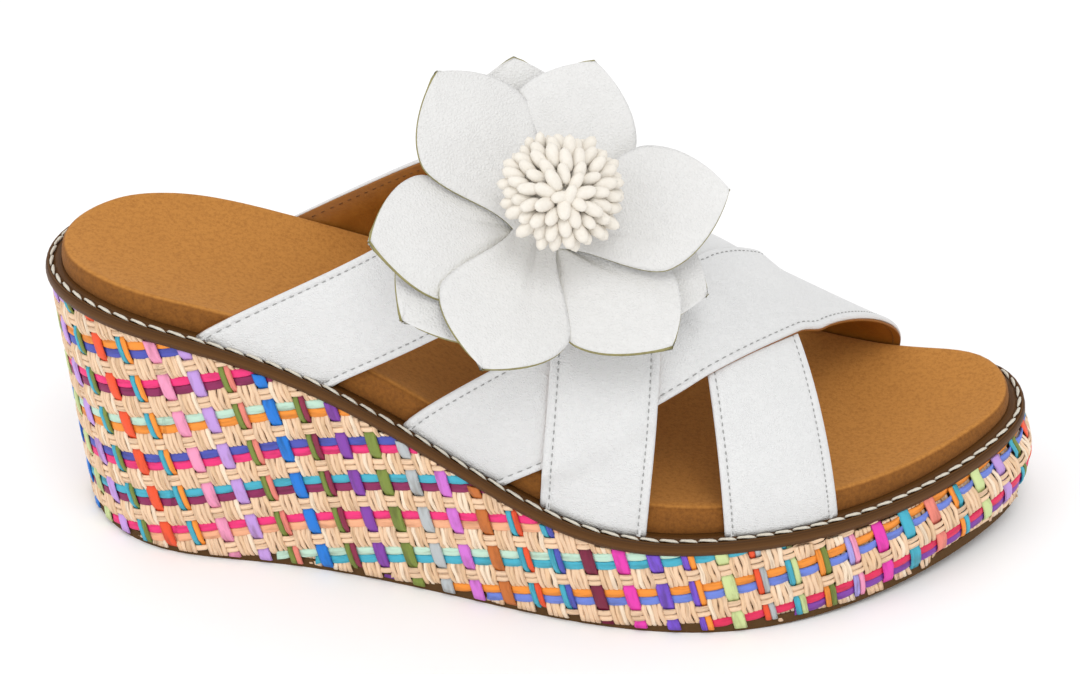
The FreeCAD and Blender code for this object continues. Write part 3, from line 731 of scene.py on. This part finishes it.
# the cloth's dark backing, just inside the strands
def makeBacking():
    bm = bmesh.new()
    levels = ring["levels"]

    def place(i, j, vert):
        station = stations[i % count]
        turn = j % (2 * levels + 2)
        k, inset = (turn, weave["backingInside"]) if turn <= levels else (2 * levels + 1 - turn,
                                                                          weave["backingInner"])
        z = mix(station["low"], station["high"], k / levels)
        return wallOn(station, z) - facing[i % count] * inset * mm

    gridSheet(bm, count, 2 * levels + 2, place)
    backing = addPiece("raffia_backing", bm, [corkFoam])
    return backing


random.seed(5)
woven = [*makeWarps(), *makeWefts(), makeBacking()]
for piece in woven:
    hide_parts("raffia_wrap")
print("raffia woven, %d repeats" % repeats)


# edges: place at the outer welt, place at the inner welt, bend, twist; in mm from the footbed's back
straps = {
    "strap_d": {"rear": (174.4, 117.4, -0.95, 0.21), "front": (203.0, 147.6, -0.96, 0.21), "over": ()},
    "strap_b": {"rear": (92.7, 193.5, 0.92, -0.30), "front": (118.8, 220.7, 1.16, -0.09),
                "over": ("strap_d",)},
    "strap_a": {"rear": (40.0, 152.8, 0.77, 0.67), "front": (74.4, 180.8, 0.59, 0.57),
                "over": ("strap_d",)},
    "strap_c": {"rear": (127.9, 50.2, -1.80, 0.64), "front": (154.8, 82.7, -1.80, 0.65),
                "over": ("strap_a", "strap_b")},
}
upper = {"fullness": 2.19, "clearance": 0.5, "ridgeShift": 2.8, "ramp": 9.0, "lining": 0.7, "leather": 1.1,
         "gap": 0.1, "strapGap": 0.4, "footLength": 250.0, "tableRows": (10, 113), "tableStep": 2.0,
         "spaces": ((0.12, 58.5), (0.28, 56.0), (0.44, 54.5), (0.60, 48.8), (0.76, 27.6), (0.90, 11.2))}


# footbed's outer and inner edge, welt height and rim height, one row for each step of its length
def upperTable():
    rows = []
    for n in range(*upper["tableRows"]):
        x = backX + n * upper["tableStep"] * mm
        found = []
        for side in (-1, 1):
            ray = (Vector((x, 0, 0)), Vector((0, side, 0)))
            top = down(coverTree, Vector((x, 0, 0)))
            wall = across(coverTree, ray, top + reading["step"])
            rim = down(coverTree, Vector((x, side * (wall - reading["edge"]), 0)))
            base = down(weltTree, Vector((x, side * (wall + 2 * mm), 0)))
            found += [side * wall, rim, base]
        rows.append((x, found[0], found[3], (found[2] + found[5]) / 2, (found[1] + found[4]) / 2))
    return rows


table = upperTable()


def tableAt(x):
    share = (x - table[0][0]) / (upper["tableStep"] * mm)
    k = min(len(table) - 2, max(0, int(share)))
    part = min(1.0, max(0.0, share - k))
    return [mix(a, b, part) for a, b in zip(table[k], table[k + 1])]


# height of the upper's ridge over the rim: a smooth line through the given places
def spaceAt(x):
    return smoothLine([(place * upper["footLength"] * mm + backX, height * mm)
                       for place, height in upper["spaces"]], x)


# a point over the foot; the angle runs from 0 at the inner welt over the top to pi at the outer
def upperPoint(x, angle, offset):
    _, outer, inner, base, rim = tableAt(x)
    grow = upper["clearance"] * mm + offset
    low, high = outer - grow, inner + grow
    exponent = 2 / upper["fullness"]
    rise = max(0.0, math.sin(angle)) ** exponent
    swing = math.copysign(abs(math.cos(angle)) ** exponent, math.cos(angle))
    base += upper["gap"] * mm
    top = rim + spaceAt(x) + offset
    return Vector((x, (low + high) / 2 + (high - low) / 2 * swing + upper["ridgeShift"] * mm * rise ** 2,
                   base + (top - base) * rise))


def edgePlace(edge, way):
    start, end, bend, twist = edge
    share = way + bend * way * (1 - way) + twist * way * (1 - way) * (1 - 2 * way)
    return backX + (start + (end - start) * share) * mm


stack = (upper["lining"] + upper["leather"] + upper["gap"] + upper["strapGap"]) * mm


def liftOver(name, x, angle):
    lift = 0.0
    for under in straps[name]["over"]:
        way = 1 - angle / math.pi
        rear = edgePlace(straps[under]["rear"], way)
        front = edgePlace(straps[under]["front"], way)
        ramp = upper["ramp"] * mm * (0.5 + 0.5 * smooth(3 * math.sin(angle)))
        inside = smooth((x - rear + ramp) / ramp) * smooth((front + ramp - x) / ramp)
        lift = max(lift, inside * (stack + liftOver(under, x, angle)))
    return lift


def strapPoint(name, way, share, offset):
    rear = edgePlace(straps[name]["rear"], way)
    front = edgePlace(straps[name]["front"], way)
    x = rear + (front - rear) * share
    angle = math.pi * (1 - way)
    return upperPoint(x, angle, offset + liftOver(name, x, angle))


strapLook = {"steps": 96, "turned": 0.55, "seamInset": 2.3, "seamLevel": 1.12, "pillow": 0.25,
             "stitchPitch": 1.95, "stitchLength": 1.3, "stitchThick": 0.31}
# leather's section from an edge: inset from the edge and height over its inner face, in mm
leatherEdge = ((0.0, 0.35), (0.06, 0.80), (0.30, 1.12), (0.75, 1.27), (1.35, 1.27), (1.90, 1.16), (2.3, 0.97),
               (2.75, 1.16), (3.6, 1.25))
leatherShares = (0.2, 0.3, 0.4, 0.5, 0.6, 0.7, 0.8)


# shares of the strap's width and heights, round the whole section
def leatherSection(width):
    outer = [(inset * mm / width, height * mm) for inset, height in leatherEdge]
    middle = [(share, (leatherEdge[-1][1] + strapLook["pillow"] * math.sin(math.pi * share)) * mm)
              for share in leatherShares]
    front = [(1 - share, height) for share, height in reversed(outer)]
    under = [(1 - 1.2 * mm / width, -0.02 * mm), (0.75, 0.0), (0.5, 0.0), (0.25, 0.0),
             (1.2 * mm / width, -0.02 * mm)]
    turned = [(1 - 0.1 * mm / width, 0.0), (1 - strapLook["turned"] * mm / width, -0.03 * mm)]
    turnedRear = [(strapLook["turned"] * mm / width, -0.03 * mm), (0.1 * mm / width, 0.0)]
    return outer + middle + front + turned + under + turnedRear


def strapShell(name, sectionOf, base):
    bm = bmesh.new()
    steps = strapLook["steps"]
    rings = []
    for i in range(steps + 1):
        way = i / steps
        width = (strapPoint(name, way, 1, 0) - strapPoint(name, way, 0, 0)).length
        rings.append([strapPoint(name, way, share, base + height) for share, height in sectionOf(width)])
    around = len(rings[0])
    middles = [sum(points, Vector()) / around for points in rings]

    def place(i, j, vert):
        if i == 0 or i == steps + 2:
            return middles[0 if i == 0 else -1]
        return rings[i - 1][j % around]

    gridSheet(bm, steps + 2, around, place)
    return bm


def liningSection(width):
    inset = 0.2 * mm / width
    return [(inset, 0.0), (inset, 0.66 * mm), (0.3, 0.68 * mm), (0.5, 0.68 * mm), (0.7, 0.68 * mm),
            (1 - inset, 0.66 * mm), (1 - inset, 0.0), (0.7, 0.0), (0.5, 0.0), (0.3, 0.0)]


# stitches along a line; pointOf(share) gives the line's point and its outward direction
def addStitches(bm, pointOf, length, look):
    total = round(length / (look["stitchPitch"] * mm))
    rings, around = 4, 6
    half = look["stitchLength"] / look["stitchPitch"] / 2 / total
    for n in range(total):
        middle = (n + 0.5) / total

        def place(i, j, vert):
            share = i / rings * 2 - 1
            point, outward, side = pointOf(middle + share * half)
            angle = 2 * math.pi * j / around
            fat = math.sqrt(max(0.0, 1 - share ** 4)) * look["stitchThick"] / 2 * mm
            sink = 0.22 * mm * share ** 4
            return point + side * (math.cos(angle) * fat) + outward * (math.sin(angle) * fat - sink)

        gridSheet(bm, rings, around, place)


# the seam's line near one edge, on the leather (towards 1) or the lining (-1):
# its points, outward directions and sideways directions
def strapSeam(name, share, base, towards):
    def pointOf(way):
        way = min(0.999, max(0.001, way))    # the line's direction is read just ahead
        width = (strapPoint(name, way, 1, 0) - strapPoint(name, way, 0, 0)).length
        place = strapLook["seamInset"] * mm / width
        if share:
            place = 1 - place
        point = strapPoint(name, way, place, base)
        outward = (strapPoint(name, way, place, base + mm) - point).normalized() * towards
        ahead = strapPoint(name, way + 0.001, place, base) - point
        return point, outward, ahead.cross(outward).normalized()
    return pointOf


def makeStraps():
    leatherBase = (upper["lining"] + upper["gap"]) * mm
    for name in straps:
        shell = strapShell(name, leatherSection, leatherBase)
        leather = addPiece(name + "_turned_leather", shell, [whiteStrap])
        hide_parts(name + "_leather")
        lining = addPiece(name + "_lining_skin", strapShell(name, liningSection, 0.0), [tanLining])
        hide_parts(name + "_lining")
        for suffix, base, side, thread in (("_seams", leatherBase + strapLook["seamLevel"] * mm, 1, greyThread),
                                           ("_lining_seams", 0.04 * mm, -1, tanThread)):
            seams = bmesh.new()
            for share in (0, 1):
                line = strapSeam(name, share, base, side)
                length = sum((line((k + 1) / 40)[0] - line(k / 40)[0]).length for k in range(40))
                addStitches(seams, line, length, strapLook)
            stitching = addPiece(name + suffix, seams, [thread])
            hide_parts(name + "_stitching")


makeStraps()
print("straps made")


# in mm, the centre from the footbed's back end, its middle line and the ground; leans in degrees
flower = {"centre": (127.5, -29.9, 107.0), "leanRight": 16.0, "leanFront": 33.0, "reach": 43.9,
          "halfWidth": 16.9, "level": 1.4, "thick": 0.9, "cup": 4.6, "foot": 2.0, "roll": 0.9,
          "ruffle": 0.75, "uneven": 0.35, "along": 44, "wide": 26}
# layer by layer from the top: first petal's direction and how far each tip is raised, degrees
petalLayers = (("petals_upper", 133.1, (8.1, 2.9, 16.2)), ("petals_middle", 77.8, (8.9, 3.4, 6.4)),
               ("petals_lower", 103.5, (4.5, -1.0, 2.2)))


def flowerFrame():
    right, front = math.radians(flower["leanRight"]), math.radians(flower["leanFront"])
    normal = Vector((math.sin(right), -math.sin(front) * math.cos(right), math.cos(right) * math.cos(front)))
    first = (Vector((1, 0, 0)) - normal * normal.x).normalized()
    return overSole(*flower["centre"]), first, normal.cross(first), normal


flowerCentre, flowerU, flowerW, flowerN = flowerFrame()


# a point of a petal: t runs from its foot to its tip, v from -1 to 1 across it
def petalPoint(direction, level, raised, t, v, seed):
    reach = flower["reach"] * mm
    swell = 0.34 + 0.66 * smooth(t / 0.62)
    taper = 1.0 if t < 0.55 else (1 - ((t - 0.55) / 0.45) ** 2.1) ** 0.9
    half = flower["halfWidth"] * mm * swell * taper
    outward = flowerU * math.cos(direction) + flowerW * math.sin(direction)
    side = flowerN.cross(outward)
    radius = flower["foot"] * mm + (reach - flower["foot"] * mm) * t
    height = -flower["cup"] * mm * (1 - t) ** 1.5 + reach * math.tan(raised) * t ** 1.5 - level
    height -= flower["roll"] * mm * v * v * swell * math.sin(math.pi * min(1.0, t * 1.1))
    nearFoot = (1 - smooth(t / 0.75)) * smooth(t / 0.2)
    height += flower["ruffle"] * mm * math.cos(2.6 * v + seed) * math.cos(4.2 * v - seed) * nearFoot
    creases = ((0.45 * math.sin(seed * 5), 0.55), (0.6 * math.cos(seed * 3), 0.4))    # aside, depth in mm
    for crease, depth in creases:
        fade = 1 - smooth((t - 0.25) / 0.5)
        height -= depth * mm * math.exp(-((v - crease * (0.5 + t)) / 0.07) ** 2) * fade
    height += flower["uneven"] * mm * noise.noise(Vector((t * 3 + seed * 7, v * 2, seed)))
    return flowerCentre + outward * radius + side * (half * v) + flowerN * height


def makePetals():
    along, wide = flower["along"], flower["wide"]
    for number, (name, first, rises) in enumerate(petalLayers):
        bm = bmesh.new()
        for k, rise in enumerate(rises):
            direction = math.radians(first + 120 * k)
            seed = number * 3.1 + k * 1.7
            level = (flower["level"] * number) * mm

            def place(i, j, vert):
                t, v = i / along, j / wide * 2 - 1
                return petalPoint(direction, level, math.radians(rise), t, v, seed)

            gridSheet(bm, along, wide, place)
        bmesh.ops.remove_doubles(bm, verts=bm.verts, dist=mergeReach)
        for face in bm.faces:
            if face.normal.dot(flowerN) < 0:
                face.normal_flip()
        piece = addPiece("flower_" + name, bm, [petalFace, petalEdge], closed=False)
        solid = piece.modifiers.new("leather", "SOLIDIFY")
        solid.thickness = flower["thick"] * mm
        solid.offset = -1.0
        solid.use_rim = True
        solid.use_quality_normals = True
        solid.material_offset_rim = 1
        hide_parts(name)


# lengths in mm; splay in degrees; inner and outer say how upright the beads stand on the dome
stamen = {"count": 84, "dome": 12.6, "squash": 0.72, "lift": 11.0, "offset": (1.5, 2.0), "splay": 92.0,
          "length": 6.2, "fat": 1.6, "inner": 0.30, "outer": 0.74, "draw": 1.5, "cushion": 9.6,
          "stalk": 0.35, "scatter": 0.26}


def makeStamens():
    bm = bmesh.new()
    golden = math.pi * (3 - math.sqrt(5))
    aside, raised = stamen["offset"]
    foot = flowerCentre + (flowerN * stamen["lift"] + flowerU * aside + flowerW * raised) * mm
    whorl = (flowerN * 0.93 - flowerW * 0.37).normalized()
    rings, around = 8, 8
    for n in range(stamen["count"]):
        tilt = math.radians(stamen["splay"]) * math.sqrt((n + 0.5) / stamen["count"])
        turn = n * golden
        flat = flowerU * math.cos(turn) + flowerW * math.sin(turn)
        outward = flat * math.sin(tilt) + flowerN * math.cos(tilt)
        away = outward - whorl * outward.dot(whorl)
        away = away - outward * away.dot(outward)
        away = away.normalized() if away.length > 0.02 else flowerU
        stand = mix(stamen["inner"], stamen["outer"], smooth(tilt / math.radians(80)))
        lean = (outward * stand + away * (1 - stand)).normalized()
        scatter = [random.uniform(-stamen["scatter"], stamen["scatter"]) for _ in range(3)]
        lean = (lean + Vector(scatter)).normalized()
        size = random.uniform(0.92, 1.12)
        flat = outward - flowerN * outward.dot(flowerN) * (1 - stamen["squash"])
        centre = foot + flat * stamen["dome"] * mm * random.uniform(0.93, 1.07)
        centre = centre - away * (1 - stand) * stamen["draw"] * mm
        side = lean.cross(outward).normalized() if lean.cross(outward).length > 0.01 else flowerW
        face = side.cross(lean)

        def place(i, j, vert):
            share = i / rings
            angle = 2 * math.pi * j / around
            fat = math.sin(math.pi * share) ** 0.42 * stamen["fat"] * mm * size
            shape = lean * ((share - 0.5) * stamen["length"] * mm * size)
            return centre + shape + side * (math.cos(angle) * fat) + face * (math.sin(angle) * fat * 0.86)

        gridSheet(bm, rings, around, place)
        stalkEnd = centre - lean * stamen["length"] * 0.4 * mm
        stalkSide = flowerU * stamen["stalk"] * mm
        stalkFace = flowerW * stamen["stalk"] * mm

        def stalk(i, j, vert):
            angle = 2 * math.pi * j / 5
            width = 0.0 if i in (0, 3) else 1.0
            point = foot.lerp(stalkEnd, (0, 0.02, 0.98, 1)[i])
            return point + (stalkSide * math.cos(angle) + stalkFace * math.sin(angle)) * width

        gridSheet(bm, 3, 5, stalk)

    def cushion(i, j, vert):
        polar, turn = math.pi * i / 10, 2 * math.pi * j / 20
        flat = (flowerU * math.cos(turn) + flowerW * math.sin(turn)) * math.sin(polar)
        return foot + (flat + flowerN * math.cos(polar) * stamen["squash"]) * stamen["cushion"] * mm

    gridSheet(bm, 10, 20, cushion)
    piece = addPiece("flower_stamens", bm, [stamenPearl])
    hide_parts("stamens")


random.seed(23)
makePetals()
makeStamens()
print("flower made")


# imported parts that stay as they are, with their materials
kept = {"outsole": brownRubber, "wedge_core": corkFoam, "insole_board": corkFoam, "bottom_filler": corkFoam,
        "footbed_foam": corkFoam, "flower_backing": petalFace, "stamen_core": stamenPearl}
for name, material in kept.items():
    mesh = nodes[name].data
    mesh.materials.clear()
    mesh.materials.append(material)


studio = {"floor": (0.97, 0.97, 0.97), "floorSize": 4.0, "world": 0.92, "lookAt": (0, 0, 0.05)}
# place, size in m and power of each soft light
lights = {"key": ((0.25, -0.7, 1.5), 0.9, 6.8), "fill": ((-1.1, -0.9, 0.9), 1.2, 3.6)}


def makeFloor():
    bm = bmesh.new()
    bmesh.ops.create_grid(bm, x_segments=1, y_segments=1, size=studio["floorSize"])
    mesh = bpy.data.meshes.new("floor")
    bm.to_mesh(mesh)
    bm.free()
    material, tree, shader = newMaterial("paleFloor")
    shader.inputs["Base Color"].default_value = (*studio["floor"], 1)
    shader.inputs["Roughness"].default_value = 0.8
    shader.inputs["Specular IOR Level"].default_value = 0.1
    mesh.materials.append(material)
    floor = bpy.data.objects.new("floor", mesh)
    bpy.context.scene.collection.objects.link(floor)


def addLight(name, place, size, power):
    data = bpy.data.lights.new(name, "AREA")
    data.shape = "DISK"
    data.size = size
    data.energy = power
    light = bpy.data.objects.new(name, data)
    light.location = place
    light.rotation_euler = (Vector(studio["lookAt"]) - Vector(place)).to_track_quat("-Z", "Y").to_euler()
    bpy.context.scene.collection.objects.link(light)


# a wide floor, an even white world and two soft lights
def makeStudio():
    makeFloor()
    world = bpy.data.worlds.new("studio")
    world.use_nodes = True
    background = next(n for n in world.node_tree.nodes if n.type == "BACKGROUND")
    background.inputs["Color"].default_value = (1, 1, 1, 1)
    background.inputs["Strength"].default_value = studio["world"]
    bpy.context.scene.world = world
    for name, (place, size, power) in lights.items():
        addLight(name, place, size, power)
    bpy.context.scene.view_settings.view_transform = "Standard"


# target and distance in mm, angles in degrees, lens in mm
view = {"target": (124.5, 0.0, 53.3), "yaw": 3.96, "rise": 33.37, "distance": 681.7, "lens": 86.41}


def makeCamera():
    data = bpy.data.cameras.new("camera")
    data.lens = view["lens"]
    data.sensor_width = 36.0
    data.clip_start = 0.01
    camera = bpy.data.objects.new("camera", data)
    yaw, rise = math.radians(view["yaw"]), math.radians(view["rise"])
    back = Vector((math.sin(yaw) * math.cos(rise), -math.cos(yaw) * math.cos(rise), math.sin(rise)))
    camera.location = overSole(*view["target"]) + back * view["distance"] * mm
    camera.rotation_euler = (-back).to_track_quat("-Z", "Y").to_euler()
    bpy.context.scene.collection.objects.link(camera)
    bpy.context.scene.camera = camera


makeStudio()
makeCamera()
print("studio and camera made")
